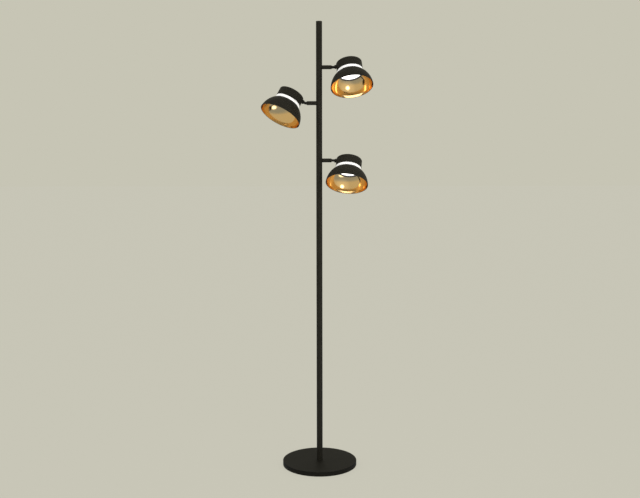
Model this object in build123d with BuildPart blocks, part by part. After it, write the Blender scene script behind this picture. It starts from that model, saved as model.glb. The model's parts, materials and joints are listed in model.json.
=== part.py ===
"""Floor lamp with a round weighted base, a slim pole and three spot heads on short arms.

Every head hangs on a knuckle: the knuckle tilts on a pin in the arm's fork, and the head swivels
on the knuckle's hollow shank. Millimetres, +Z up, origin under the pole on the floor.
"""

import os
from math import sqrt

from build123d import *

os.makedirs("parts", exist_ok=True)

# Clearances
fit_gap = 0.10  # fixed round pieces in their holes
running_gap = 0.05  # radial, pivot pin and swivel shank
face_gap = 0.30  # between faces that turn past each other
side_gap = 0.20  # each side of the tongue in its fork

# Base
base_diameter = 250.0
base_height = 15.7
cover_wall = 1.2
cover_edge_radius = 1.0
cover_lift = 0.8  # lower edge of the skirt above the floor
pad_thickness = 2.0
pad_inset = 3.0  # edge of the pad inside the ballast's edge
ballast_gap = 0.3  # between the ballast and the skirt
pocket_diameter = 72.0  # under the ballast, for the nut and the wiring
channel_width = 14.0  # from the pocket to the cord inlet
washer_diameter = 36.0
washer_thickness = 1.5
base_nut_flats = 20.0
base_nut_height = 3.4
nipple_diameter = 14.0
nipple_bore = 10.4
nipple_tail = 0.3  # nipple showing below its nut
nipple_grip = 30.0  # nipple above the base, inside the pole's foot

# Cord inlet at the back of the base
gland_bore = 6.0
gland_neck_diameter = 7.8
gland_flange_diameter = 9.6
gland_flange_thickness = 1.8

# Wiring
riser_diameter = 4.4
riser_bend = 6.0
riser_end_gap = 40.0  # free end under the cap's spigot
lead_diameter = 3.2
lead_bore = 4.0  # through the arms and the swivel shanks
lead_bend = 2.0
terminal_width = 22.0
terminal_depth = 11.0
terminal_height = 7.0

# Pole
pole_diameter = 20.0
pole_wall = 1.5
pole_length = 1464.0
foot_length = 36.0
cap_height = 3.0
cap_spigot = 14.0
cap_edge_radius = 0.8

# Arms and knuckles
arm_diameter = 13.0
hinge_reach = 45.7  # pole axis to pivot pin
arm_spigot_diameter = 8.0
arm_nut_flats = 9.0
arm_nut_height = 2.6
arm_tail = 0.2  # spigot showing past its nut
eye_radius = 4.0
shoulder_rise = 4.2  # half height of the knuckle where its slope starts
slope_length = 1.6  # along the arm, from the shoulder to the full diameter
tongue_thickness = 4.6
pin_diameter = 3.0
ear_half_width = 5.4  # pin axis to the flat outside of an ear
pin_head_diameter = 5.6
pin_head_height = 1.8
pin_tail = 0.5
pin_nut_flats = 5.5
pin_nut_height = 2.4
knuckle_reach = 10.6  # pivot pin to the side of the housing
shank_diameter = 7.0
shank_nut_flats = 9.4
shank_nut_height = 4.0
shank_tail = 0.5

# Housing
housing_diameter = 85.0
housing_height = 29.4
housing_wall = 1.6
housing_edge_radius = 1.0
shank_rise = 22.0  # swivel axis above the housing's mouth
shank_boss_diameter = 14.0
shank_boss_depth = 1.8  # flat seat inside the housing's wall

# Light ring, shade and collar
ring_inset = 0.2  # ring face behind the housing's face
ring_height = 9.0
ring_spigot = 4.0
shade_diameter = 138.8
shade_depth = 49.8
shade_shoulder = 0.3427  # shade's top edge outside the ring's face
shade_wall = 1.2
collar_inset = 4.6  # collar's bore behind the housing's face
collar_wall = 1.0
collar_lip_width = 3.2
collar_lip_thickness = 1.6
collar_neck = 5.2

# Lamp and lampholder
lamp_gap = 0.5  # radial, lamp in the collar
lamp_face_rise = 0.4  # lamp face above the top of the shade
diffuser_height = 6.3
diffuser_wall = 1.6
diffuser_edge_radius = 3.0
lamp_body_inset = 0.4
lamp_body_height = 13.7
lamp_boss_diameter = 40.0
lamp_boss_height = 5.0
contact_spacing = 53.0
contact_angle = 90.0  # of the first contact, from the side away from the knuckle
contact_diameter = 3.0
contact_head_diameter = 4.6
contact_head_height = 1.6
contact_height = 5.6
holder_diameter = 64.0
holder_height = 8.0
holder_lift = 0.4  # lampholder above the lamp
holder_bore_gap = 0.6
slot_arc = 50.0  # degrees of each contact slot
slot_gap = 0.4
holder_screw_circle = 52.0
holder_screw_angle = 45.0
screw_diameter = 2.9
screw_head_diameter = 5.4
screw_head_height = 1.8
screw_grip = 5.0  # thread in the housing's post
post_diameter = 6.8

# Where the arms leave the pole, and how each head is set: tilt outwards, swivel to the front
upper_drop = 144.5  # top of the pole to the upper arm
upper_to_middle = 116.0
middle_to_lower = 187.1
upper_tilt = 6.5
upper_swivel = 26.8
middle_tilt = 26.9
middle_swivel = 20.5
lower_tilt = -6.9
lower_swivel = 29.2


def save(builder, name):
    """Label a finished piece and write it."""
    builder.part.label = name
    export_step(builder.part, f"parts/{name}.step")


def arm_plane(side, height):
    """On the pole's axis at the arm's height, x along the arm."""
    return Plane(origin=(0, 0, height), x_dir=(side, 0, 0), z_dir=(0, 0, 1))


def knuckle_plane(arm, tilt):
    """On the pivot pin, x along the knuckle's shank."""
    return Plane(arm.location * Pos(hinge_reach, 0, 0) * Rot(0, -tilt, 0))


def head_plane(knuckle, side, swivel):
    """In the middle of the shade's rim, z up the head's axis, x away from the knuckle."""
    turned = knuckle.location * Rot(-side * swivel, 0, 0)
    return Plane(turned * Pos(knuckle_reach + housing_radius, 0, -shank_height))


def upright(plane):
    """The plane's own x and z, for side views and for profiles that are revolved."""
    return Plane(origin=plane.origin, x_dir=plane.x_dir, z_dir=-plane.y_dir)


def across(plane, distance=0.0):
    """Square to the plane's x, at a distance along it."""
    section = Plane(origin=plane.origin, x_dir=plane.y_dir, z_dir=plane.x_dir)
    return section.offset(distance)


def axis_of(plane):
    """The plane's z as an axis to revolve about."""
    return Axis(plane.origin, plane.z_dir)


# Radii and heights that follow from the sizes above
base_radius = base_diameter / 2
pole_radius = pole_diameter / 2
pole_bore_radius = pole_radius - pole_wall
nipple_radius = nipple_diameter / 2
ballast_radius = base_radius - cover_wall - ballast_gap
ballast_top = base_height - cover_wall
riser_radius = riser_diameter / 2
riser_height = pad_thickness + face_gap + riser_radius
nipple_bottom = riser_height + riser_radius + face_gap
base_nut_bottom = nipple_bottom + nipple_tail
washer_bottom = base_nut_bottom + base_nut_height
pocket_roof = washer_bottom + washer_thickness
terminal_start = washer_diameter / 2 + face_gap
gland_height = (pad_thickness + pocket_roof) / 2
gland_flange_radius = gland_flange_diameter / 2
gland_neck_radius = gland_neck_diameter / 2
skirt_bore = base_radius - cover_wall
inner_flange_face = sqrt(skirt_bore**2 - gland_flange_radius**2) - fit_gap
pole_top = base_height + pole_length
upper_height = pole_top - upper_drop
middle_height = upper_height - upper_to_middle
lower_height = middle_height - middle_to_lower
riser_end = pole_top - cap_spigot - riser_end_gap

# Name, side of the pole (1 right, -1 left), height of the arm and pose of each light
lights = [
    ("upper", 1, upper_height, upper_tilt, upper_swivel),
    ("middle", -1, middle_height, middle_tilt, middle_swivel),
    ("lower", 1, lower_height, lower_tilt, lower_swivel),
]

arm_radius = arm_diameter / 2
shoulder = eye_radius + face_gap + fit_gap
full_section = shoulder + slope_length
slot_half_width = tongue_thickness / 2 + side_gap
pin_radius = pin_diameter / 2
arm_spigot_radius = arm_spigot_diameter / 2
arm_nut_corner = arm_nut_flats / sqrt(3)
arm_nut_face = sqrt(pole_bore_radius**2 - arm_nut_corner**2) - fit_gap
arm_start = arm_nut_face - arm_nut_height - arm_tail
shank_radius = shank_diameter / 2

housing_radius = housing_diameter / 2
housing_bore = housing_radius - housing_wall
ring_bottom = shade_depth
housing_bottom = ring_bottom + ring_height
housing_top = housing_bottom + housing_height
housing_roof = housing_top - housing_wall
shank_height = housing_bottom + shank_rise
boss_face = housing_bore - shank_boss_depth
shank_nut_face = boss_face - face_gap
shank_end = shank_nut_face - shank_nut_height - shank_tail
shank_nut_corner = shank_nut_flats / sqrt(3)
collar_radius = housing_radius - collar_inset
ring_bore = collar_radius + collar_wall + fit_gap
ring_radius = housing_radius - ring_inset
ring_spigot_radius = housing_bore - fit_gap
shade_radius = shade_diameter / 2
shade_top_radius = ring_radius + shade_shoulder
shade_centre_drop = (shade_radius**2 - shade_top_radius**2 - shade_depth**2) / (2 * shade_depth)
shade_sphere = sqrt(shade_radius**2 + shade_centre_drop**2)
shade_inner_sphere = shade_sphere - shade_wall
flange_bottom = shade_depth - shade_wall
lamp_radius = collar_radius - lamp_gap
lamp_face = shade_depth + lamp_face_rise
lamp_body_bottom = lamp_face + diffuser_height
lamp_body_top = lamp_body_bottom + lamp_body_height
holder_bottom = lamp_body_top + holder_lift
holder_top = holder_bottom + holder_height
contact_radius = contact_spacing / 2
slot_width = contact_head_diameter + 2 * slot_gap
screw_recess = screw_head_height + 2 * face_gap
lead_radius = lead_diameter / 2


def sphere_radius_at(sphere, height):
    """Radius of the shade's sphere at a height over the rim."""
    return sqrt(sphere**2 - (height + shade_centre_drop) ** 2)


# Base cover: a pressed steel dish over the ballast, with the inlet hole in its skirt
with BuildPart() as base_cover:
    with BuildSketch(Plane.XZ):
        with BuildLine():
            Polyline(
                (nipple_radius + fit_gap, base_height),
                (base_radius, base_height),
                (base_radius, cover_lift),
                (skirt_bore, cover_lift),
                (skirt_bore, ballast_top),
                (nipple_radius + fit_gap, ballast_top),
                close=True,
            )
        make_face()
    revolve(axis=Axis.Z)
    top_edges = base_cover.edges().filter_by(GeomType.CIRCLE).group_by(Axis.Z)[-1]
    fillet(top_edges.sort_by(SortBy.RADIUS)[-1], cover_edge_radius)
    with BuildSketch(Plane(origin=(0, 0, gland_height), x_dir=(1, 0, 0), z_dir=(0, 1, 0))):
        Circle(gland_neck_radius + fit_gap)
    extrude(amount=base_diameter, mode=Mode.SUBTRACT)
save(base_cover, "base_cover")

# Ballast: a cast plate with a pocket for the nut and a channel for the cord underneath
with BuildPart() as ballast:
    with BuildSketch(Plane.XY.offset(pad_thickness)):
        Circle(ballast_radius)
    extrude(amount=ballast_top - pad_thickness)
    with BuildSketch(Plane.XY.offset(pad_thickness)):
        Circle(pocket_diameter / 2)
        with Locations((0, base_diameter / 4)):
            Rectangle(channel_width, base_diameter / 2)
    extrude(amount=pocket_roof - pad_thickness, mode=Mode.SUBTRACT)
    with BuildSketch(Plane.XY):
        Circle(nipple_radius + fit_gap)
    extrude(amount=base_height, mode=Mode.SUBTRACT)
save(ballast, "ballast")

# Pad: a foam sheet glued under the ballast, which the lamp stands on
with BuildPart() as base_pad:
    with BuildSketch(Plane.XY):
        Circle(ballast_radius - pad_inset)
    extrude(amount=pad_thickness)
save(base_pad, "base_pad")

# Nipple: the hollow threaded stud that ties the pole to the base
with BuildPart() as base_nipple:
    with BuildSketch(Plane.XY.offset(nipple_bottom)):
        Circle(nipple_radius)
        Circle(nipple_bore / 2, mode=Mode.SUBTRACT)
    extrude(amount=base_height + nipple_grip - nipple_bottom)
save(base_nipple, "base_nipple")

with BuildPart() as base_washer:
    with BuildSketch(Plane.XY.offset(washer_bottom)):
        Circle(washer_diameter / 2)
        Circle(nipple_radius + fit_gap, mode=Mode.SUBTRACT)
    extrude(amount=washer_thickness)
save(base_washer, "base_washer")

with BuildPart() as base_nut:
    with BuildSketch(Plane.XY.offset(base_nut_bottom)):
        RegularPolygon(base_nut_flats / 2, 6, major_radius=False)
        Circle(nipple_radius + fit_gap, mode=Mode.SUBTRACT)
    extrude(amount=base_nut_height)
save(base_nut, "base_nut")

# Cord inlet: a rubber grommet with a flange on each side of the skirt
with BuildPart() as cord_gland:
    gland_plane = Plane(origin=(0, 0, gland_height), x_dir=(1, 0, 0), z_dir=(0, 1, 0))
    inner_flange_start = inner_flange_face - gland_flange_thickness
    outer_flange_face = base_radius + fit_gap
    with BuildSketch(gland_plane.offset(inner_flange_start)):
        Circle(gland_flange_radius)
    extrude(amount=gland_flange_thickness)
    with BuildSketch(gland_plane.offset(inner_flange_start)):
        Circle(gland_neck_radius)
    extrude(amount=outer_flange_face - inner_flange_start)
    with BuildSketch(gland_plane.offset(outer_flange_face)):
        Circle(gland_flange_radius)
    extrude(amount=gland_flange_thickness)
    with BuildSketch(gland_plane):
        Circle(gland_bore / 2)
    extrude(amount=base_diameter, mode=Mode.SUBTRACT)
save(cord_gland, "cord_gland")

# Terminal block under the pocket's roof, where the cord's cores meet the riser
with BuildPart() as terminal_block:
    with BuildSketch(Plane.XY.offset(pocket_roof - terminal_height)):
        with Locations((0, terminal_start + terminal_depth / 2)):
            Rectangle(terminal_width, terminal_depth)
    extrude(amount=terminal_height)
    core_hole = lead_diameter / 2
    core_plane = Plane(
        origin=(0, terminal_start + terminal_depth, pocket_roof - terminal_height / 2),
        x_dir=(-1, 0, 0),
        z_dir=(0, 1, 0),
    )
    with BuildSketch(core_plane):
        with GridLocations(terminal_width / 3, 0, 3, 1):
            Circle(core_hole)
    extrude(amount=-terminal_depth / 2, mode=Mode.SUBTRACT)
save(terminal_block, "terminal_block")

# Riser: the cable from the terminal block up the middle of the pole
with BuildPart() as riser_cable:
    with BuildLine() as riser_route:
        FilletPolyline(
            (0, terminal_start, riser_height),
            (0, 0, riser_height),
            (0, 0, riser_end),
            radius=riser_bend,
        )
    with BuildSketch(Plane(origin=(0, terminal_start, riser_height), z_dir=(0, -1, 0))):
        Circle(riser_radius)
    sweep(path=riser_route.line)
save(riser_cable, "riser_cable")

# Pole: one steel tube with a hole for each arm's spigot in its near wall
with BuildPart() as pole:
    with BuildSketch(Plane.XY.offset(base_height)):
        Circle(pole_radius)
        Circle(pole_bore_radius, mode=Mode.SUBTRACT)
    extrude(amount=pole_length)
    for name, side, height, tilt, swivel in lights:
        with BuildSketch(across(arm_plane(side, height))):
            Circle(arm_spigot_radius + fit_gap)
        extrude(amount=pole_diameter, mode=Mode.SUBTRACT)
save(pole, "pole")

# Foot: the turned bush in the pole's lower end, which the nipple screws into
with BuildPart() as pole_foot:
    with BuildSketch(Plane.XY.offset(base_height)):
        Circle(pole_bore_radius - fit_gap)
        Circle(nipple_radius + fit_gap, mode=Mode.SUBTRACT)
    extrude(amount=foot_length)
save(pole_foot, "pole_foot")

# Cap: a turned plug that closes the top of the pole
with BuildPart() as pole_cap:
    with BuildSketch(Plane.XY.offset(pole_top)):
        Circle(pole_radius)
    extrude(amount=cap_height)
    fillet(pole_cap.edges().group_by(Axis.Z)[-1], cap_edge_radius)
    with BuildSketch(Plane.XY.offset(pole_top)):
        Circle(pole_bore_radius - fit_gap)
    extrude(amount=-cap_spigot)
save(pole_cap, "pole_cap")

# Nuts inside the pole, one on each arm's spigot
with BuildPart() as arm_nuts:
    for name, side, height, tilt, swivel in lights:
        with BuildSketch(across(arm_plane(side, height), arm_nut_face)):
            RegularPolygon(arm_nut_flats / 2, 6, major_radius=False)
            Circle(arm_spigot_radius + fit_gap, mode=Mode.SUBTRACT)
        extrude(amount=-arm_nut_height)
save(arm_nuts, "arm_nuts")

# Leads through the arms, tapped off the riser
with BuildPart() as arm_leads:
    lead_tap = riser_radius + face_gap
    for name, side, height, tilt, swivel in lights:
        with BuildSketch(across(arm_plane(side, height), lead_tap)):
            Circle(lead_radius)
        extrude(amount=hinge_reach - shoulder - lead_tap)
save(arm_leads, "arm_leads")

for name, side, height, tilt, swivel in lights:
    arm_frame = arm_plane(side, height)
    knuckle_frame = knuckle_plane(arm_frame, tilt)
    head = head_plane(knuckle_frame, side, swivel)
    profile = upright(head)
    head_axis = axis_of(head)
    pin_frame = Plane(arm_frame.location * Pos(hinge_reach, 0, 0))
    swivel_axis_frame = Plane(head.location * Pos(-housing_radius, 0, shank_height))

    # Arm: a turned rod, coped to the pole at one end and forked for the knuckle at the other
    with BuildPart() as arm:
        with BuildSketch(across(arm_frame)):
            Circle(arm_radius)
        extrude(amount=hinge_reach + eye_radius)
        with BuildSketch(upright(arm_frame)):
            with BuildLine():
                Polyline(
                    (hinge_reach, eye_radius),
                    (hinge_reach - shoulder, eye_radius),
                    (hinge_reach - shoulder, shoulder_rise),
                    (hinge_reach - full_section, arm_radius),
                    (0, arm_radius),
                    (0, -arm_radius),
                    (hinge_reach - full_section, -arm_radius),
                    (hinge_reach - shoulder, -shoulder_rise),
                    (hinge_reach - shoulder, -eye_radius),
                    (hinge_reach, -eye_radius),
                )
                ThreePointArc(
                    (hinge_reach, -eye_radius),
                    (hinge_reach + eye_radius, 0),
                    (hinge_reach, eye_radius),
                )
            make_face()
        extrude(amount=arm_radius, both=True, mode=Mode.INTERSECT)
        with BuildSketch(Plane.XY.offset(height - arm_diameter)):
            Circle(pole_radius + fit_gap)
        extrude(amount=2 * arm_diameter, mode=Mode.SUBTRACT)
        with BuildSketch(across(arm_frame, arm_start)):
            Circle(arm_spigot_radius)
        extrude(amount=pole_radius + arm_radius - arm_start)
        with BuildSketch(across(arm_frame)):
            Circle(lead_bore / 2)
        extrude(amount=hinge_reach, mode=Mode.SUBTRACT)
        with BuildSketch(pin_frame):
            with Locations((eye_radius, 0)):
                Rectangle(2 * (shoulder + eye_radius), 2 * slot_half_width)
        extrude(amount=arm_radius, both=True, mode=Mode.SUBTRACT)
        for outside in (1, -1):
            with BuildSketch(pin_frame):
                with Locations((0, outside * (ear_half_width + arm_radius / 2))):
                    Rectangle(2 * shoulder, arm_radius)
            extrude(amount=eye_radius, both=True, mode=Mode.SUBTRACT)
        with BuildSketch(upright(pin_frame)):
            Circle(pin_radius + running_gap)
        extrude(amount=arm_radius, both=True, mode=Mode.SUBTRACT)
    save(arm, f"{name}_arm")

    # Pivot pin: a screw across the fork, its head to the front on the right-hand lights
    with BuildPart() as pivot_screw:
        pin_side = upright(pin_frame)
        with BuildSketch(pin_side.offset(ear_half_width)):
            Circle(pin_head_diameter / 2)
        extrude(amount=pin_head_height)
        with BuildSketch(pin_side.offset(ear_half_width)):
            Circle(pin_radius)
        extrude(amount=-(2 * ear_half_width + pin_nut_height + pin_tail))
    save(pivot_screw, f"{name}_pivot_screw")

    with BuildPart() as pivot_nut:
        with BuildSketch(upright(pin_frame).offset(-ear_half_width)):
            RegularPolygon(pin_nut_flats / 2, 6, major_radius=False)
            Circle(pin_radius + running_gap, mode=Mode.SUBTRACT)
        extrude(amount=-pin_nut_height)
    save(pivot_nut, f"{name}_pivot_nut")

    # Knuckle: a tongue on the pin, a stout collar against the housing and the hollow shank
    with BuildPart() as knuckle:
        collar_face = knuckle_reach - face_gap
        with BuildSketch(across(knuckle_frame, -eye_radius)):
            Circle(arm_radius)
        extrude(amount=collar_face + eye_radius)
        with BuildSketch(upright(knuckle_frame)):
            with BuildLine():
                Polyline(
                    (0, eye_radius),
                    (shoulder, eye_radius),
                    (shoulder, shoulder_rise),
                    (full_section, arm_radius),
                    (collar_face, arm_radius),
                    (collar_face, -arm_radius),
                    (full_section, -arm_radius),
                    (shoulder, -shoulder_rise),
                    (shoulder, -eye_radius),
                    (0, -eye_radius),
                )
                ThreePointArc((0, -eye_radius), (-eye_radius, 0), (0, eye_radius))
            make_face()
        extrude(amount=arm_radius, both=True, mode=Mode.INTERSECT)
        for outside in (1, -1):
            with BuildSketch(knuckle_frame):
                with Locations((0, outside * (tongue_thickness / 2 + arm_radius / 2))):
                    Rectangle(2 * shoulder, arm_radius)
            extrude(amount=arm_radius, both=True, mode=Mode.SUBTRACT)
        with BuildSketch(across(knuckle_frame, full_section)):
            Circle(shank_radius)
        extrude(amount=knuckle_reach + housing_radius - shank_end - full_section)
        with BuildSketch(across(knuckle_frame, full_section)):
            Circle(lead_bore / 2)
        extrude(amount=housing_diameter, mode=Mode.SUBTRACT)
        with BuildSketch(upright(knuckle_frame)):
            Circle(pin_radius + running_gap)
        extrude(amount=arm_radius, both=True, mode=Mode.SUBTRACT)
    save(knuckle, f"{name}_knuckle")

    with BuildPart() as shank_nut:
        with BuildSketch(across(knuckle_frame, knuckle_reach + housing_radius - shank_nut_face)):
            RegularPolygon(shank_nut_flats / 2, 6, major_radius=False)
            Circle(shank_radius + running_gap, mode=Mode.SUBTRACT)
        extrude(amount=shank_nut_height)
    save(shank_nut, f"{name}_shank_nut")

    # Housing: a steel cup with a flat seat for the shank and two posts for the lampholder
    with BuildPart() as housing:
        with BuildSketch(profile):
            with BuildLine():
                Polyline(
                    (0, housing_roof),
                    (housing_bore, housing_roof),
                    (housing_bore, housing_bottom),
                    (housing_radius, housing_bottom),
                    (housing_radius, housing_top),
                    (0, housing_top),
                    close=True,
                )
            make_face()
        revolve(axis=head_axis)
        rim_point = profile.from_local_coords((housing_radius, housing_top))
        top_edge = housing.edges().sort_by_distance(rim_point)[0]
        fillet(top_edge, housing_edge_radius)
        with BuildSketch(across(swivel_axis_frame, housing_wall / 2)):
            Circle(shank_boss_diameter / 2)
        extrude(amount=housing_wall / 2 + shank_boss_depth)
        with BuildSketch(across(swivel_axis_frame, -housing_wall)):
            Circle(shank_radius + running_gap)
        extrude(amount=3 * housing_wall + shank_boss_depth, mode=Mode.SUBTRACT)
        with BuildSketch(head.offset(holder_top)):
            with PolarLocations(holder_screw_circle / 2, 2, holder_screw_angle):
                Circle(post_diameter / 2)
        extrude(amount=housing_roof - holder_top)
        with BuildSketch(head.offset(holder_top)):
            with PolarLocations(holder_screw_circle / 2, 2, holder_screw_angle):
                Circle(screw_diameter / 2 + running_gap)
        extrude(amount=screw_grip + face_gap, mode=Mode.SUBTRACT)
    save(housing, f"{name}_housing")

    # Lampholder: a ceramic ring with two curved slots for the lamp's contacts, kept clear of the shank
    with BuildPart() as lampholder:
        with BuildSketch(head.offset(holder_bottom)):
            Circle(holder_diameter / 2)
            Circle(lamp_boss_diameter / 2 + holder_bore_gap, mode=Mode.SUBTRACT)
        extrude(amount=holder_height)
        with BuildSketch(head.offset(holder_bottom)):
            for middle in (contact_angle, contact_angle + 180):
                with BuildLine():
                    slot_path = CenterArc((0, 0), contact_radius, middle - slot_arc / 2, slot_arc)
                SlotArc(slot_path, slot_width, mode=Mode.ADD)
        extrude(amount=contact_height + face_gap, mode=Mode.SUBTRACT)
        with BuildSketch(head.offset(holder_bottom)):
            with PolarLocations(holder_screw_circle / 2, 2, holder_screw_angle):
                Circle(screw_diameter / 2 + fit_gap)
        extrude(amount=holder_height, mode=Mode.SUBTRACT)
        with BuildSketch(head.offset(holder_bottom)):
            with PolarLocations(holder_screw_circle / 2, 2, holder_screw_angle):
                Circle(screw_head_diameter / 2 + face_gap)
        extrude(amount=screw_recess, mode=Mode.SUBTRACT)
        with BuildSketch(across(swivel_axis_frame)):
            Circle(shank_nut_corner + face_gap)
        extrude(amount=housing_radius - shank_end + face_gap, mode=Mode.SUBTRACT)
    save(lampholder, f"{name}_lampholder")

    with BuildPart() as holder_screws:
        screw_seat = head.offset(holder_bottom + screw_recess)
        with BuildSketch(screw_seat):
            with PolarLocations(holder_screw_circle / 2, 2, holder_screw_angle):
                Circle(screw_head_diameter / 2)
        extrude(amount=-screw_head_height)
        with BuildSketch(screw_seat):
            with PolarLocations(holder_screw_circle / 2, 2, holder_screw_angle):
                Circle(screw_diameter / 2)
        extrude(amount=holder_height - screw_recess + screw_grip)
    save(holder_screws, f"{name}_holder_screws")

    # Lead from the mouth of the shank over the lampholder and down into it
    with BuildPart() as head_lead:
        lead_start = head.from_local_coords((-(shank_end - face_gap), 0, shank_height))
        landing = -(lamp_boss_diameter / 2 + holder_bore_gap + holder_diameter / 2) / 2
        with BuildLine() as lead_route:
            FilletPolyline(
                lead_start,
                head.from_local_coords((landing, 0, shank_height)),
                head.from_local_coords((landing, 0, holder_top)),
                radius=lead_bend,
            )
        with BuildSketch(Plane(origin=lead_start, z_dir=head.x_dir)):
            Circle(lead_radius)
        sweep(path=lead_route.line)
    save(head_lead, f"{name}_head_lead")

    # Lamp: a flat disc lamp of a body, an opal diffuser and two contact studs
    with BuildPart() as lamp_body:
        with BuildSketch(head.offset(lamp_body_bottom)):
            Circle(lamp_radius - lamp_body_inset)
        extrude(amount=lamp_body_height)
        with BuildSketch(head.offset(lamp_body_top)):
            Circle(lamp_boss_diameter / 2)
        extrude(amount=lamp_boss_height)
    save(lamp_body, f"{name}_lamp_body")

    with BuildPart() as lamp_diffuser:
        with BuildSketch(profile):
            with BuildLine():
                Polyline(
                    (0, lamp_face + diffuser_wall),
                    (0, lamp_face),
                    (lamp_radius - diffuser_edge_radius, lamp_face),
                )
                ThreePointArc(
                    (lamp_radius - diffuser_edge_radius, lamp_face),
                    (
                        lamp_radius - diffuser_edge_radius * (1 - sqrt(0.5)),
                        lamp_face + diffuser_edge_radius * (1 - sqrt(0.5)),
                    ),
                    (lamp_radius, lamp_face + diffuser_edge_radius),
                )
                Polyline(
                    (lamp_radius, lamp_face + diffuser_edge_radius),
                    (lamp_radius, lamp_body_bottom),
                    (lamp_radius - diffuser_wall, lamp_body_bottom),
                    (lamp_radius - diffuser_wall, lamp_face + diffuser_edge_radius),
                    (lamp_radius - diffuser_edge_radius, lamp_face + diffuser_wall),
                    (0, lamp_face + diffuser_wall),
                )
            make_face()
        revolve(axis=head_axis)
    save(lamp_diffuser, f"{name}_lamp_diffuser")

    with BuildPart() as lamp_contacts:
        with BuildSketch(head.offset(lamp_body_top)):
            with PolarLocations(contact_radius, 2, contact_angle):
                Circle(contact_diameter / 2)
        extrude(amount=contact_height)
        with BuildSketch(head.offset(lamp_body_top + contact_height - contact_head_height)):
            with PolarLocations(contact_radius, 2, contact_angle):
                Circle(contact_head_diameter / 2)
        extrude(amount=contact_head_height)
    save(lamp_contacts, f"{name}_lamp_contacts")

    # Light ring: opal acrylic, its spigot in the housing's mouth
    with BuildPart() as light_ring:
        with BuildSketch(head.offset(ring_bottom)):
            Circle(ring_radius)
            Circle(ring_bore, mode=Mode.SUBTRACT)
        extrude(amount=ring_height)
        with BuildSketch(head.offset(housing_bottom)):
            Circle(ring_spigot_radius)
            Circle(ring_bore, mode=Mode.SUBTRACT)
        extrude(amount=ring_spigot)
    save(light_ring, f"{name}_light_ring")

    # Shade: a spun bowl, part of a sphere, with a flat flange under the light ring
    with BuildPart() as shade:
        outer_middle = sphere_radius_at(shade_sphere, shade_depth / 2)
        inner_top = sphere_radius_at(shade_inner_sphere, flange_bottom)
        inner_middle = sphere_radius_at(shade_inner_sphere, flange_bottom / 2)
        inner_rim = sphere_radius_at(shade_inner_sphere, 0)
        with BuildSketch(profile):
            with BuildLine():
                ThreePointArc(
                    (shade_radius, 0), (outer_middle, shade_depth / 2), (shade_top_radius, shade_depth)
                )
                Polyline(
                    (shade_top_radius, shade_depth),
                    (ring_bore, shade_depth),
                    (ring_bore, flange_bottom),
                    (inner_top, flange_bottom),
                )
                ThreePointArc(
                    (inner_top, flange_bottom), (inner_middle, flange_bottom / 2), (inner_rim, 0)
                )
                Line((inner_rim, 0), (shade_radius, 0))
            make_face()
        revolve(axis=head_axis)
    save(shade, f"{name}_shade")

    # Collar: a thin black ring that clamps the shade's flange to the light ring
    with BuildPart() as shade_collar:
        with BuildSketch(head.offset(flange_bottom - collar_lip_thickness)):
            Circle(collar_radius + collar_lip_width)
            Circle(collar_radius, mode=Mode.SUBTRACT)
        extrude(amount=collar_lip_thickness)
        with BuildSketch(head.offset(flange_bottom)):
            Circle(collar_radius + collar_wall)
            Circle(collar_radius, mode=Mode.SUBTRACT)
        extrude(amount=collar_neck)
    save(shade_collar, f"{name}_shade_collar")
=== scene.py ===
import json
import math

import bmesh
import bpy
from mathutils import Matrix, Vector


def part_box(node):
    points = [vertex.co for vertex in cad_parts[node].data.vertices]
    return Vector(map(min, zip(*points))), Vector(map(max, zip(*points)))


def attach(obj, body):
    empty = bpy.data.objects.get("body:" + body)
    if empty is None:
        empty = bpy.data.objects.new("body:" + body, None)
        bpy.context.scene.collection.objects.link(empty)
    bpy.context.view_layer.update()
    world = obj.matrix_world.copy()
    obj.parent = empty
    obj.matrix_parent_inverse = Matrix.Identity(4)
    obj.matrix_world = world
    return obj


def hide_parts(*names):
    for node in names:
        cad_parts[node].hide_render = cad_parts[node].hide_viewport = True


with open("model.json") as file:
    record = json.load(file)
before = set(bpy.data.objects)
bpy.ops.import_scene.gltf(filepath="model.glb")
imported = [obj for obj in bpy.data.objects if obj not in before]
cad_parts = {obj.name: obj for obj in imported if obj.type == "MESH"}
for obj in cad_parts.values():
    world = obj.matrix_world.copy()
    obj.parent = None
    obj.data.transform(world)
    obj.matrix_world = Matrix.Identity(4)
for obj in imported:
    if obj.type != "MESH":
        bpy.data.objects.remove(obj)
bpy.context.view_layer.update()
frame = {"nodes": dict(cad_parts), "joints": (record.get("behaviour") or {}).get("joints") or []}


# Base cover: a steel dish pressed over the ballast and powder coated matt black.
# The nut on the nipple holds it down, and it hides the ballast from every side.
coat_grain_scale = 900.0
coat_relief = 0.00008
grain_strength = 0.35


def new_effect(name, inputs, outputs):
    """An empty node group; inputs give a socket type and a default, outputs a socket type."""
    group = bpy.data.node_groups.new(name, "ShaderNodeTree")
    for label, (kind, default) in inputs.items():
        socket = group.interface.new_socket(label, in_out="INPUT", socket_type=kind)
        socket.default_value = default
    for label, kind in outputs.items():
        group.interface.new_socket(label, in_out="OUTPUT", socket_type=kind)
    return group, group.nodes.new("NodeGroupInput"), group.nodes.new("NodeGroupOutput")


def two_tone_effect(name, scales):
    """A group for a pattern in two tones, with an input for each of the pattern's scales."""
    inputs = {label: ("NodeSocketFloat", scale) for label, scale in scales.items()}
    inputs["Dark"] = ("NodeSocketColor", (0.0, 0.0, 0.0, 1.0))
    inputs["Light"] = ("NodeSocketColor", (1.0, 1.0, 1.0, 1.0))
    inputs["Smoothest"] = ("NodeSocketFloat", 0.0)
    inputs["Roughest"] = ("NodeSocketFloat", 1.0)
    outputs = {
        "Color": "NodeSocketColor",
        "Roughness": "NodeSocketFloat",
        "Height": "NodeSocketFloat",
    }
    return new_effect(name, inputs, outputs)


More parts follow.
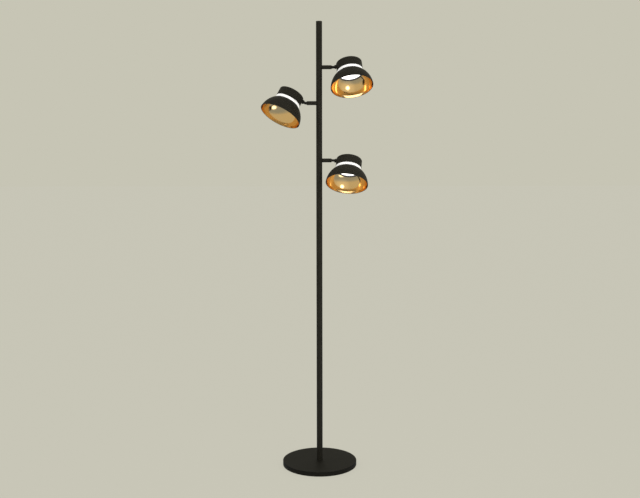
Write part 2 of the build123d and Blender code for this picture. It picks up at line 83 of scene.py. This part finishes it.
def put_out_tones(group, group_in, group_out, tone, shine, height):
    """Mix the tones by one pattern, spread the roughness by another and pass on a height."""
    colour = group.nodes.new("ShaderNodeMix")
    colour.data_type = "RGBA"
    rough = group.nodes.new("ShaderNodeMapRange")
    group.links.new(tone, colour.inputs["Factor"])
    group.links.new(group_in.outputs["Dark"], colour.inputs["A"])
    group.links.new(group_in.outputs["Light"], colour.inputs["B"])
    group.links.new(shine, rough.inputs["Value"])
    group.links.new(group_in.outputs["Smoothest"], rough.inputs["To Min"])
    group.links.new(group_in.outputs["Roughest"], rough.inputs["To Max"])
    group.links.new(colour.outputs["Result"], group_out.inputs["Color"])
    group.links.new(rough.outputs["Result"], group_out.inputs["Roughness"])
    group.links.new(height, group_out.inputs["Height"])


def two_tones(dark, light, smoothest, roughest):
    """An effect's values for its two tones and for the roughness that goes with them."""
    return {
        "Dark": (*dark, 1.0),
        "Light": (*light, 1.0),
        "Smoothest": smoothest,
        "Roughest": roughest,
    }


def new_finish(name, effect, values):
    """A material with a Principled shader and a placed effect, which gets its own values."""
    finish = bpy.data.materials.new(name)
    finish.use_nodes = True
    tree = finish.node_tree
    placed = tree.nodes.new("ShaderNodeGroup")
    placed.node_tree = effect
    for label, value in values.items():
        placed.inputs[label].default_value = value
    return finish, tree, tree.nodes["Principled BSDF"], placed


def link_effect(tree, shader, placed, strength, relief):
    """Join an effect's colour, roughness and height to the shader; relief is in metres."""
    bump = tree.nodes.new("ShaderNodeBump")
    bump.inputs["Strength"].default_value = strength
    bump.inputs["Distance"].default_value = relief
    tree.links.new(placed.outputs["Color"], shader.inputs["Base Color"])
    tree.links.new(placed.outputs["Roughness"], shader.inputs["Roughness"])
    tree.links.new(placed.outputs["Height"], bump.inputs["Height"])
    tree.links.new(bump.outputs["Normal"], shader.inputs["Normal"])


def dress(finish, *names):
    """Give CAD nodes a finish."""
    for name in names:
        for slot in frame["nodes"][name].material_slots:
            slot.material = finish


# Grain of coated and moulded surfaces: a fine relief in two close tones, with wide mottling
grain_effect, grain_in, grain_out = two_tone_effect(
    "surface_grain", {"Grain Scale": 1000.0, "Mottle Scale": 30.0}
)
grain_place = grain_effect.nodes.new("ShaderNodeTexCoord")
grain_fine = grain_effect.nodes.new("ShaderNodeTexNoise")
grain_fine.inputs["Detail"].default_value = 2.0
grain_mottle = grain_effect.nodes.new("ShaderNodeTexNoise")
grain_mottle.inputs["Detail"].default_value = 3.0
grain_tone = grain_effect.nodes.new("ShaderNodeMath")
grain_tone.operation = "MULTIPLY"
for texture, scale in ((grain_fine, "Grain Scale"), (grain_mottle, "Mottle Scale")):
    grain_effect.links.new(grain_place.outputs["Object"], texture.inputs["Vector"])
    grain_effect.links.new(grain_in.outputs[scale], texture.inputs["Scale"])
grain_effect.links.new(grain_fine.outputs["Fac"], grain_tone.inputs[0])
grain_effect.links.new(grain_mottle.outputs["Fac"], grain_tone.inputs[1])
put_out_tones(
    grain_effect,
    grain_in,
    grain_out,
    tone=grain_tone.outputs["Value"],
    shine=grain_mottle.outputs["Fac"],
    height=grain_fine.outputs["Fac"],
)


def grained(
    name, dark, light, grain_scale, smoothest, roughest, relief, specular=0.5, metallic=0.0
):
    """A coated, moulded or cast finish in two close tones; relief is the grain's height."""
    values = two_tones(dark, light, smoothest, roughest)
    values["Grain Scale"] = grain_scale
    finish, tree, shader, grain = new_finish(name, grain_effect, values)
    shader.inputs["Specular IOR Level"].default_value = specular
    shader.inputs["Metallic"].default_value = metallic
    link_effect(tree, shader, grain, grain_strength, relief)
    return finish


# Painted shade: the base cover wears a darker copy of the black coat on the pole and heads,
# because the base gets less light than they do.
shaded_base_coat = grained(
    "shaded_base_coat",
    dark=(0.0085, 0.0079, 0.0060),
    light=(0.0235, 0.0218, 0.0164),
    grain_scale=coat_grain_scale,
    smoothest=0.52,
    roughest=0.66,
    relief=coat_relief,
    specular=0.08,
)
dress(shaded_base_coat, "base_cover")


# Ballast and pad: a rough iron casting fills the cover, and a foam disc is glued under it.
# Of the pad, which stands on the floor, only the edge shows in the shadow under the cover.
cast_iron = grained(
    "cast_iron",
    dark=(0.05, 0.05, 0.05),
    light=(0.13, 0.125, 0.12),
    grain_scale=260.0,
    smoothest=0.70,
    roughest=0.85,
    relief=0.0003,
    metallic=0.6,
)
foam = grained(
    "foam",
    dark=(0.012, 0.012, 0.012),
    light=(0.035, 0.034, 0.032),
    grain_scale=700.0,
    smoothest=0.85,
    roughest=0.95,
    relief=0.0002,
)
dress(cast_iron, "ballast")
dress(foam, "base_pad")


# Base hardware: a hollow threaded nipple, its washer and nut, and the bush in the pole's end.
# They are turned steel with a bright zinc plating, as the nuts inside the pole are.
line_strength = 0.2
line_relief = 0.00004
line_stretch = (0.08, 0.08, 1.0)


def draw_lines(group, group_in, group_out, place, stretch, detail):
    """Stretched noise for the lines of a lathe, which carry tone, shine and relief alike."""
    squeeze = group.nodes.new("ShaderNodeMapping")
    squeeze.inputs["Scale"].default_value = stretch
    lines = group.nodes.new("ShaderNodeTexNoise")
    lines.inputs["Detail"].default_value = detail
    group.links.new(place, squeeze.inputs["Vector"])
    group.links.new(squeeze.outputs["Vector"], lines.inputs["Vector"])
    group.links.new(group_in.outputs["Line Scale"], lines.inputs["Scale"])
    pattern = lines.outputs["Fac"]
    put_out_tones(group, group_in, group_out, tone=pattern, shine=pattern, height=pattern)


plating_effect, plating_in, plating_out = two_tone_effect("turned_metal", {"Line Scale": 900.0})
plating_place = plating_effect.nodes.new("ShaderNodeTexCoord")
draw_lines(
    plating_effect,
    plating_in,
    plating_out,
    plating_place.outputs["Object"],
    line_stretch,
    detail=4.0,
)


def turned_metal(name, dark, light, smoothest, roughest):
    """A turned metal with faint lathe lines."""
    values = two_tones(dark, light, smoothest, roughest)
    finish, tree, shader, plating = new_finish(name, plating_effect, values)
    shader.inputs["Metallic"].default_value = 1.0
    link_effect(tree, shader, plating, line_strength, line_relief)
    return finish


zinc_steel = turned_metal(
    "zinc_steel",
    dark=(0.48, 0.48, 0.47),
    light=(0.66, 0.66, 0.64),
    smoothest=0.22,
    roughest=0.42,
)
dress(zinc_steel, "base_nipple", "base_washer", "base_nut", "pole_foot", "arm_nuts")


# Cord inlet: a soft rubber grommet snapped into the skirt at the back, with two round flanges.
# Its bore is the way in for a cord, and the channel under the ballast starts behind it.
gland_bore = 0.0030
gland_neck = 0.0039
flange_thickness = 0.0018
flange_edge = 0.0007
flange_steps = 5


def arc_points(centre, radius, start, end, count):
    """Points of an arc in an outline, with angles in degrees from the outward direction."""
    angles = [math.radians(start + (end - start) * i / count) for i in range(count + 1)]
    return [(centre[0] + radius * math.cos(a), centre[1] + radius * math.sin(a)) for a in angles]


def reach(point, turn):
    """How far an outline point lies from the axis; a third number counts the flats of a nut."""
    if len(point) == 2:
        return point[0]
    half = math.pi / point[2]
    return point[0] / math.cos(turn % (2 * half) - half)


def turned_piece(name, runs, place, steps, sharp_from=math.radians(35)):
    """A closed outline of (radius, height) points revolved about place's z axis.

    Each run is a finish and the outline points that carry it, up to the next run's first point.
    """
    outline = []
    carried = []
    finishes = []
    for finish, points in runs:
        finishes.append(finish)
        outline += points
        carried += [len(finishes) - 1] * len(points)
    shape = bmesh.new()
    along = shape.loops.layers.uv.new("turned")
    rings = []
    for point in outline:
        ring = []
        for k in range(steps if point[0] > 0 else 1):
            turn = 2 * math.pi * k / steps
            away = reach(point, turn)
            spot = Vector((away * math.cos(turn), away * math.sin(turn), point[1]))
            ring.append(shape.verts.new(place @ spot))
        rings.append(ring)
    travel = 0.0
    for i, ring in enumerate(rings):
        j = (i + 1) % len(rings)
        after = rings[j]
        length = math.dist(outline[i][:2], outline[j][:2])
        if len(ring) == 1 and len(after) == 1:
            continue
        for k in range(steps):
            corners = [
                (ring[k % len(ring)], k, travel),
                (ring[(k + 1) % len(ring)], k + 1, travel),
                (after[(k + 1) % len(after)], k + 1, travel + length),
                (after[k % len(after)], k, travel + length),
            ]
            if len(ring) == 1:
                corners.pop(1)
            if len(after) == 1:
                corners.pop(2)
            face = shape.faces.new([vertex for vertex, step, distance in corners])
            face.smooth = True
            face.material_index = carried[i]
            for loop, (vertex, step, distance) in zip(face.loops, corners):
                loop[along].uv = (step / steps, distance)
        travel += length
    bmesh.ops.recalc_face_normals(shape, faces=shape.faces)
    mesh = bpy.data.meshes.new(name)
    shape.to_mesh(mesh)
    shape.free()
    for finish in finishes:
        mesh.materials.append(finish)
    mesh.set_sharp_from_angle(angle=sharp_from)
    piece = bpy.data.objects.new(name, mesh)
    bpy.context.scene.collection.objects.link(piece)
    return piece


def stands_for(piece, node, body):
    """The piece replaces a CAD node, which it hides, and moves with a body."""
    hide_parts(node)
    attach(piece, body)


rubber = grained(
    "rubber",
    dark=(0.012, 0.012, 0.012),
    light=(0.024, 0.023, 0.022),
    grain_scale=1500.0,
    smoothest=0.55,
    roughest=0.72,
    relief=0.00004,
)
gland_low, gland_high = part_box("cord_gland")
gland_radius = (gland_high.x - gland_low.x) / 2
gland_length = gland_high.y - gland_low.y
gland_place = Matrix.Translation((0, gland_low.y, (gland_low.z + gland_high.z) / 2))
gland_place = gland_place @ Matrix.Rotation(math.radians(-90), 4, "X")
flange_round = gland_radius - flange_edge
gland_outline = [
    (gland_bore, 0),
    *arc_points((flange_round, flange_edge), flange_edge, -90, 0, flange_steps),
    (gland_radius, flange_thickness),
    (gland_neck, flange_thickness),
    (gland_neck, gland_length - flange_thickness),
    (gland_radius, gland_length - flange_thickness),
    *arc_points((flange_round, gland_length - flange_edge), flange_edge, 0, 90, flange_steps),
    (gland_bore, gland_length),
]
grommet = turned_piece("grommet", [(rubber, gland_outline)], gland_place, steps=64)
stands_for(grommet, "cord_gland", "stand")


# Wiring: a moulded terminal block under the ballast, the riser in the pole, a lead in each arm.
# All of it is shut inside the stand.
moulding = grained(
    "moulding",
    dark=(0.72, 0.72, 0.70),
    light=(0.84, 0.84, 0.82),
    grain_scale=600.0,
    smoothest=0.45,
    roughest=0.60,
    relief=0.00005,
)
cable_jacket = grained(
    "cable_jacket",
    dark=(0.03, 0.03, 0.03),
    light=(0.06, 0.06, 0.058),
    grain_scale=500.0,
    smoothest=0.40,
    roughest=0.55,
    relief=0.00004,
)
dress(moulding, "terminal_block")
dress(cable_jacket, "riser_cable", "arm_leads")


# Pole: one straight steel tube with a turned plug pressed into its top, coated matt black.
# Nuts inside it draw the arms against its wall.
# The base cover's darker copy of this coat is painted shade; this copy is the lighter one, for
# the pole and heads in fuller light.
black_coat = grained(
    "black_coat",
    dark=(0.0140, 0.0127, 0.0090),
    light=(0.0368, 0.0338, 0.0245),
    grain_scale=coat_grain_scale,
    smoothest=0.48,
    roughest=0.62,
    relief=coat_relief,
    specular=0.12,
)
dress(black_coat, "pole", "pole_cap")


# Arms and knuckles: short turned rods, forked for the knuckle's tongue, all coated black.
# A black oxide screw and nut across each fork are the tilt's pivot.
light_names = ("upper", "middle", "lower")
joints = {joint["name"]: joint for joint in frame["joints"]}
fork_half = 0.0054
pin_radius = 0.0015
screw_head = 0.0018
screw_crown = 0.0008
crown_steps = 6
socket_half = 0.00125
socket_depth = 0.0011
hexagon = 6
nut_half = 0.00275
nut_height = 0.0024
nut_chamfer = 0.0004
pin_steps = 48
screw_black = turned_metal(
    "screw_black",
    dark=(0.015, 0.015, 0.015),
    light=(0.05, 0.05, 0.048),
    smoothest=0.30,
    roughest=0.45,
)
nut_end = -fork_half - nut_height
nut_outline = [
    (pin_radius, -fork_half),
    (nut_half, -fork_half),
    (nut_half, -fork_half - nut_chamfer, hexagon),
    (nut_half, nut_end + nut_chamfer, hexagon),
    (nut_half, nut_end),
    (pin_radius, nut_end),
]
for name in light_names:
    dress(black_coat, f"{name}_arm", f"{name}_knuckle")
    dress(zinc_steel, f"{name}_shank_nut")
    hinge = Vector(joints[f"tilt_{name}"]["pos_m"])
    # An arm on the other side is turned half round, so its screw's head faces the other way
    pin_tilt = math.radians(90 if hinge.x > 0 else -90)
    pin_place = Matrix.Translation(hinge) @ Matrix.Rotation(pin_tilt, 4, "X")
    screw_low, screw_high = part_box(f"{name}_pivot_screw")
    head_radius = (screw_high.x - screw_low.x) / 2
    head_top = fork_half + screw_head
    crown_centre = (head_radius - screw_crown, head_top - screw_crown)
    tip = head_top - (screw_high.y - screw_low.y)
    screw_outline = [
        (0, head_top - socket_depth),
        (socket_half, head_top - socket_depth, hexagon),
        (socket_half, head_top, hexagon),
        *arc_points(crown_centre, screw_crown, 90, 0, crown_steps),
        (head_radius, fork_half),
        (pin_radius, fork_half),
        (pin_radius, tip + nut_chamfer),
        (pin_radius - nut_chamfer, tip),
        (0, tip),
    ]
    screw = turned_piece(
        f"{name}_pin_screw", [(screw_black, screw_outline)], pin_place, pin_steps
    )
    stands_for(screw, f"{name}_pivot_screw", "stand")
    nut = turned_piece(f"{name}_pin_nut", [(screw_black, nut_outline)], pin_place, pin_steps)
    stands_for(nut, f"{name}_pivot_nut", "stand")


# Housings: steel drums, coated black, each hung on its knuckle's hollow shank.
# Inside, a moulded holder is screwed to the roof and takes the lamp's two brass studs.
brass = turned_metal(
    "brass",
    dark=(0.60, 0.42, 0.17),
    light=(0.76, 0.58, 0.28),
    smoothest=0.20,
    roughest=0.35,
)
for name in light_names:
    dress(black_coat, f"{name}_housing")
    dress(moulding, f"{name}_lampholder", f"{name}_lamp_body")
    dress(zinc_steel, f"{name}_holder_screws")
    dress(cable_jacket, f"{name}_head_lead")
    dress(brass, f"{name}_lamp_contacts")


# Lamps and light rings: a frosted disc lamp shows in each bowl, a ring of opal acrylic above it.
# The ring's spigot sits in the housing's mouth, the lamp twists into the holder, and both glow.
opal_dim = (0.94, 0.93, 0.91, 1.0)
opal_bright = (1.0, 0.995, 0.98, 1.0)
ring_radius = 0.0423
ring_bore = 0.0390
ring_spigot_radius = 0.0408
ring_bottom = 0.0498
ring_height = 0.0090
ring_spigot = 0.0040
ring_edge = 0.0004
ring_edge_steps = 4
ring_steps = 144
knuckle_reach = 0.0106
housing_radius = 0.0425
shank_height = 0.0808

opal_effect, opal_in, opal_out = new_effect(
    "opal_glow",
    {
        "Cloud Scale": ("NodeSocketFloat", 40.0),
        "Dim": ("NodeSocketColor", opal_dim),
        "Bright": ("NodeSocketColor", opal_bright),
    },
    {"Color": "NodeSocketColor"},
)
opal_place = opal_effect.nodes.new("ShaderNodeTexCoord")
opal_cloud = opal_effect.nodes.new("ShaderNodeTexNoise")
opal_colour = opal_effect.nodes.new("ShaderNodeMix")
opal_colour.data_type = "RGBA"
opal_effect.links.new(opal_place.outputs["Object"], opal_cloud.inputs["Vector"])
opal_effect.links.new(opal_in.outputs["Cloud Scale"], opal_cloud.inputs["Scale"])
opal_effect.links.new(opal_cloud.outputs["Fac"], opal_colour.inputs["Factor"])
opal_effect.links.new(opal_in.outputs["Dim"], opal_colour.inputs["A"])
opal_effect.links.new(opal_in.outputs["Bright"], opal_colour.inputs["B"])
opal_effect.links.new(opal_colour.outputs["Result"], opal_out.inputs["Color"])


def opal(name, roughness, glow):
    """White opal plastic, lit from inside."""
    values = {"Dim": opal_dim, "Bright": opal_bright}
    finish, tree, shader, cloud = new_finish(name, opal_effect, values)
    shader.inputs["Roughness"].default_value = roughness
    shader.inputs["Emission Strength"].default_value = glow
    tree.links.new(cloud.outputs["Color"], shader.inputs["Base Color"])
    tree.links.new(cloud.outputs["Color"], shader.inputs["Emission Color"])
    return finish


opal_ring = opal("opal_ring", roughness=0.25, glow=0.30)
opal_lamp = opal("opal_lamp", roughness=0.45, glow=2.6)
ring_top = ring_bottom + ring_height
ring_round = ring_radius - ring_edge
ring_outline = [
    (ring_bore, ring_bottom),
    *arc_points((ring_round, ring_bottom + ring_edge), ring_edge, -90, 0, ring_edge_steps),
    *arc_points((ring_round, ring_top - ring_edge), ring_edge, 0, 90, ring_edge_steps),
    (ring_spigot_radius, ring_top),
    (ring_spigot_radius, ring_top + ring_spigot),
    (ring_bore, ring_top + ring_spigot),
]
head_place = {}
for name in light_names:
    hinge = Vector(joints[f"tilt_{name}"]["pos_m"])
    swivel = joints[f"swivel_{name}"]
    turn_axis = Vector(swivel["axis"])
    side = 1 if hinge.x > 0 else -1
    outward = -side * turn_axis
    across = Vector((0, side, 0))
    # The swivel's stops lie evenly about straight down, so their middle gives the turn at rest
    turn_at_rest = Matrix.Rotation(math.radians(-sum(swivel["range_deg"]) / 2), 3, turn_axis)
    upward = turn_at_rest @ outward.cross(across)
    centre = hinge + outward * (knuckle_reach + housing_radius) - upward * shank_height
    axes = Matrix((outward, upward.cross(outward), upward)).transposed()
    head_place[name] = Matrix.Translation(centre) @ axes.to_4x4()
    dress(opal_lamp, f"{name}_lamp_diffuser")
    ring = turned_piece(
        f"{name}_glow_ring", [(opal_ring, ring_outline)], head_place[name], ring_steps
    )
    stands_for(ring, f"{name}_light_ring", f"{name}_head")


# Shades: bowls spun from aluminium sheet, coated black outside, polished and gold inside.
# The lining ends in a nearly upright hem, and a thin black collar clamps the bowl to the ring.
shade_radius = 0.06938
shade_depth = 0.0498
shade_wall = 0.0012
shade_drop = 0.0052
shade_steps = 192
bowl_steps = 48
hem_height = 0.0080
hem_lean = 1.2
hem_steps = 6
collar_bore = 0.0379
collar_lip = 0.0411
collar_wall = 0.0010
collar_thickness = 0.0016
collar_neck = 0.0052
collar_edge = 0.0003
collar_edge_steps = 3
spin_strength = 0.02
spin_relief = 0.00001
spin_stretch = (0.004, 1.0, 1.0)

spun_effect, spun_in, spun_out = two_tone_effect("spun_gold", {"Line Scale": 2200.0})
spun_place = spun_effect.nodes.new("ShaderNodeUVMap")
spun_place.uv_map = "turned"
draw_lines(spun_effect, spun_in, spun_out, spun_place.outputs["UV"], spin_stretch, detail=3.0)
gold, gold_tree, gold_shader, gold_spin = new_finish(
    "gold_lining",
    spun_effect,
    two_tones(
        dark=(0.875, 0.567, 0.242), light=(0.916, 0.632, 0.307), smoothest=0.09, roughest=0.14
    ),
)
gold_shader.inputs["Metallic"].default_value = 1.0
link_effect(gold_tree, gold_shader, gold_spin, spin_strength, spin_relief)
satin_black = grained(
    "satin_black",
    dark=(0.006, 0.006, 0.006),
    light=(0.016, 0.0155, 0.015),
    grain_scale=1200.0,
    smoothest=0.32,
    roughest=0.42,
    relief=0.00002,
)
bowl_sphere = math.hypot(shade_radius, shade_drop)
lining_sphere = bowl_sphere - shade_wall
bowl_centre = (0, -shade_drop)
flange_bottom = shade_depth - shade_wall
rim_slope = math.degrees(math.asin(shade_drop / bowl_sphere))
bowl_top = math.degrees(math.asin((shade_depth + shade_drop) / bowl_sphere))
lining_top = math.degrees(math.asin((flange_bottom + shade_drop) / lining_sphere))
lining_end = math.degrees(math.asin((hem_height + shade_drop) / lining_sphere))
hem_radius = lining_sphere * math.cos(math.radians(lining_end))
hem_spread = math.tan(math.radians(hem_lean))
outside = [
    *arc_points(bowl_centre, bowl_sphere, rim_slope, bowl_top, bowl_steps),
    (ring_bore, shade_depth),
]
inside = [
    (ring_bore, flange_bottom),
    *arc_points(bowl_centre, lining_sphere, lining_top, lining_end, bowl_steps),
]
for step in range(1, hem_steps + 1):
    fall = hem_height * step / hem_steps
    inside.append((hem_radius + fall * hem_spread, hem_height - fall))
# The coat wraps round the rim, so the hem's last point starts a black run
rim = [inside.pop()]
bowl_runs = [(black_coat, outside), (gold, inside), (black_coat, rim)]
lip_bottom = flange_bottom - collar_thickness
lip_round = lip_bottom + collar_edge
collar_top = flange_bottom + collar_neck
collar_outline = [
    *arc_points((collar_bore + collar_edge, lip_round), collar_edge, 180, 270, collar_edge_steps),
    *arc_points((collar_lip - collar_edge, lip_round), collar_edge, -90, 0, collar_edge_steps),
    (collar_lip, flange_bottom),
    (collar_bore + collar_wall, flange_bottom),
    (collar_bore + collar_wall, collar_top),
    (collar_bore, collar_top),
]
for name in light_names:
    bowl = turned_piece(f"{name}_bowl", bowl_runs, head_place[name], shade_steps)
    stands_for(bowl, f"{name}_shade", f"{name}_head")
    collar = turned_piece(
        f"{name}_collar_ring", [(satin_black, collar_outline)], head_place[name], ring_steps
    )
    stands_for(collar, f"{name}_shade_collar", f"{name}_head")


# Studio floor and sky: a pale seamless floor under an even sky.
# Seen directly or in the gold they show their own colour, and the floor keeps a soft shadow.
backdrop_colour = (0.571, 0.558, 0.462, 1.0)
floor_colour = (0.588, 0.575, 0.484, 1.0)
own_colour_share = 0.85
floor_half = 40.0
sky_colour = (1.0, 0.995, 0.97, 1.0)
sky_strength = 0.85


def seen_directly(tree):
    """One for camera, mirror and see-through rays, nothing for the rays that light the scene."""
    path = tree.nodes.new("ShaderNodeLightPath")
    either = tree.nodes.new("ShaderNodeMath")
    either.operation = "MAXIMUM"
    any_of = tree.nodes.new("ShaderNodeMath")
    any_of.operation = "MAXIMUM"
    tree.links.new(path.outputs["Is Camera Ray"], either.inputs[0])
    tree.links.new(path.outputs["Is Glossy Ray"], either.inputs[1])
    tree.links.new(either.outputs["Value"], any_of.inputs[0])
    tree.links.new(path.outputs["Is Transmission Ray"], any_of.inputs[1])
    return any_of.outputs["Value"]


floor_mesh = bpy.data.meshes.new("floor")
floor_mesh.from_pydata(
    [
        (-floor_half, -floor_half, 0),
        (floor_half, -floor_half, 0),
        (floor_half, floor_half, 0),
        (-floor_half, floor_half, 0),
    ],
    [],
    [(0, 1, 2, 3)],
)
floor = bpy.data.objects.new("floor", floor_mesh)
bpy.context.scene.collection.objects.link(floor)
floor_finish = bpy.data.materials.new("studio_floor")
floor_finish.use_nodes = True
floor_tree = floor_finish.node_tree
floor_tree.nodes.remove(floor_tree.nodes["Principled BSDF"])
floor_surface = floor_tree.nodes["Material Output"].inputs["Surface"]
floor_matt = floor_tree.nodes.new("ShaderNodeBsdfDiffuse")
floor_matt.inputs["Color"].default_value = floor_colour
floor_glow = floor_tree.nodes.new("ShaderNodeEmission")
floor_glow.inputs["Color"].default_value = floor_colour
floor_share = floor_tree.nodes.new("ShaderNodeMath")
floor_share.operation = "MULTIPLY"
floor_share.inputs[1].default_value = own_colour_share
floor_mix = floor_tree.nodes.new("ShaderNodeMixShader")
floor_tree.links.new(seen_directly(floor_tree), floor_share.inputs[0])
floor_tree.links.new(floor_share.outputs["Value"], floor_mix.inputs["Fac"])
floor_tree.links.new(floor_matt.outputs["BSDF"], floor_mix.inputs[1])
floor_tree.links.new(floor_glow.outputs["Emission"], floor_mix.inputs[2])
floor_tree.links.new(floor_mix.outputs["Shader"], floor_surface)
floor_mesh.materials.append(floor_finish)

studio = bpy.data.worlds.new("studio")
studio.use_nodes = True
bpy.context.scene.world = studio
studio_tree = studio.node_tree
studio_surface = studio_tree.nodes["World Output"].inputs["Surface"]
sky = studio_tree.nodes["Background"]
sky.inputs["Color"].default_value = sky_colour
sky.inputs["Strength"].default_value = sky_strength
backdrop = studio_tree.nodes.new("ShaderNodeBackground")
backdrop.inputs["Color"].default_value = backdrop_colour
sky_mix = studio_tree.nodes.new("ShaderNodeMixShader")
studio_tree.links.new(seen_directly(studio_tree), sky_mix.inputs["Fac"])
studio_tree.links.new(sky.outputs["Background"], sky_mix.inputs[1])
studio_tree.links.new(backdrop.outputs["Background"], sky_mix.inputs[2])
studio_tree.links.new(sky_mix.outputs["Shader"], studio_surface)


# Studio cards: a round softbox to the front right, and a bright and a grey card on the floor.
# The softbox lights the lamp. Its glint, a faint halo round it and the two floor cards show in
# reflections alone, and the middle bowl is shaded from the glint and the halo.
card_light = (1.0, 0.99, 0.97, 1.0)
card_sides = 64
no_tint = (1.0, 1.0, 1.0)
softbox_bearing = math.radians(27.0)
softbox_distance = 1.40
softbox_height = 1.166
softbox_radius = 0.48
softbox_core = 0.06
softbox_glow = 5.5
glint_radius = 0.34
glint_glow = 4.2
halo_setback = 0.02
halo_radius = 1.6
halo_core = 0.3
halo_glow = 0.18
bounce_spot = (0.53, -0.52, 0.02)
bounce_radius = 0.42
bounce_core = 0.15
bounce_glow = 2.5
grey_spot = (0.2, -0.6, 0.01)
grey_radius = 3.2
grey_core = 1.0
grey_tint = (0.544, 0.678, 1.0)


def soft_card(name, place, radius, core, tint, glow):
    """A disc that tints what lies behind it and adds a glow, both fading from core to edge."""
    card_mesh = bpy.data.meshes.new(name)
    card_shape = bmesh.new()
    bmesh.ops.create_circle(card_shape, cap_ends=True, segments=card_sides, radius=radius)
    card_shape.to_mesh(card_mesh)
    card_shape.free()
    card = bpy.data.objects.new(name, card_mesh)
    card.matrix_world = place
    card.visible_camera = False
    card.visible_shadow = False
    bpy.context.scene.collection.objects.link(card)
    finish = bpy.data.materials.new(name)
    finish.use_nodes = True
    tree = finish.node_tree
    tree.nodes.remove(tree.nodes["Principled BSDF"])
    spot = tree.nodes.new("ShaderNodeTexCoord")
    away = tree.nodes.new("ShaderNodeVectorMath")
    away.operation = "LENGTH"
    cover = tree.nodes.new("ShaderNodeMapRange")
    cover.interpolation_type = "SMOOTHSTEP"
    cover.inputs["From Min"].default_value = core
    cover.inputs["From Max"].default_value = radius
    cover.inputs["To Min"].default_value = 1.0
    cover.inputs["To Max"].default_value = 0.0
    strength = tree.nodes.new("ShaderNodeMath")
    strength.operation = "MULTIPLY"
    strength.inputs[1].default_value = glow
    light = tree.nodes.new("ShaderNodeEmission")
    light.inputs["Color"].default_value = card_light
    veil = tree.nodes.new("ShaderNodeMix")
    veil.data_type = "RGBA"
    veil.inputs["A"].default_value = (1.0, 1.0, 1.0, 1.0)
    veil.inputs["B"].default_value = (*tint, 1.0)
    clear = tree.nodes.new("ShaderNodeBsdfTransparent")
    both = tree.nodes.new("ShaderNodeAddShader")
    tree.links.new(spot.outputs["Object"], away.inputs[0])
    tree.links.new(away.outputs["Value"], cover.inputs["Value"])
    tree.links.new(cover.outputs["Result"], strength.inputs[0])
    tree.links.new(cover.outputs["Result"], veil.inputs["Factor"])
    tree.links.new(strength.outputs["Value"], light.inputs["Strength"])
    tree.links.new(veil.outputs["Result"], clear.inputs["Color"])
    tree.links.new(light.outputs["Emission"], both.inputs[0])
    tree.links.new(clear.outputs["BSDF"], both.inputs[1])
    tree.links.new(both.outputs["Shader"], tree.nodes["Material Output"].inputs["Surface"])
    card_mesh.materials.append(finish)
    return card


softbox_spot = (
    softbox_distance * math.sin(softbox_bearing),
    -softbox_distance * math.cos(softbox_bearing),
    softbox_height,
)
softbox_upright = Matrix.Rotation(math.radians(-90), 4, "X")
softbox_facing = Matrix.Rotation(softbox_bearing, 4, "Z") @ softbox_upright
softbox_place = Matrix.Translation(softbox_spot) @ softbox_facing
halo_place = softbox_place @ Matrix.Translation((0, 0, -halo_setback))
bounce_place = Matrix.Translation(bounce_spot)
grey_place = Matrix.Translation(grey_spot)
softbox = soft_card(
    "softbox", softbox_place, softbox_radius, softbox_core, no_tint, softbox_glow
)
softbox.visible_glossy = False
glint = soft_card("softbox_glint", softbox_place, glint_radius, softbox_core, no_tint, glint_glow)
halo = soft_card("softbox_halo", halo_place, halo_radius, halo_core, no_tint, halo_glow)
bounce = soft_card("bounce_card", bounce_place, bounce_radius, bounce_core, no_tint, bounce_glow)
grey = soft_card("grey_card", grey_place, grey_radius, grey_core, grey_tint, glow=0.0)
for card in (glint, halo, bounce, grey):
    card.visible_diffuse = False
shaded = bpy.data.collections.new("shaded")
shaded.objects.link(bpy.data.objects["middle_bowl"])
shaded.collection_objects[0].light_linking.link_state = "EXCLUDE"
for card in (glint, halo):
    card.light_linking.receiver_collection = shaded


# Camera: a normal lens at about waist height, looking slightly down.
# Its place, pitch, roll and focal length are fitted to the pole, the base and the shades.
camera_sensor = 36.0
camera_lens = 48.26
camera_spot = (0.00208, -2.85013, 1.01508)
camera_pitch = 5.552
camera_roll = -0.094
camera_data = bpy.data.cameras.new("camera")
camera_data.sensor_fit = "HORIZONTAL"
camera_data.sensor_width = camera_sensor
camera_data.lens = camera_lens
camera = bpy.data.objects.new("camera", camera_data)
camera.matrix_world = (
    Matrix.Translation(camera_spot)
    @ Matrix.Rotation(math.radians(90 - camera_pitch), 4, "X")
    @ Matrix.Rotation(math.radians(camera_roll), 4, "Z")
)
bpy.context.scene.collection.objects.link(camera)
bpy.context.scene.camera = camera
bpy.context.scene.view_settings.view_transform = "Standard"
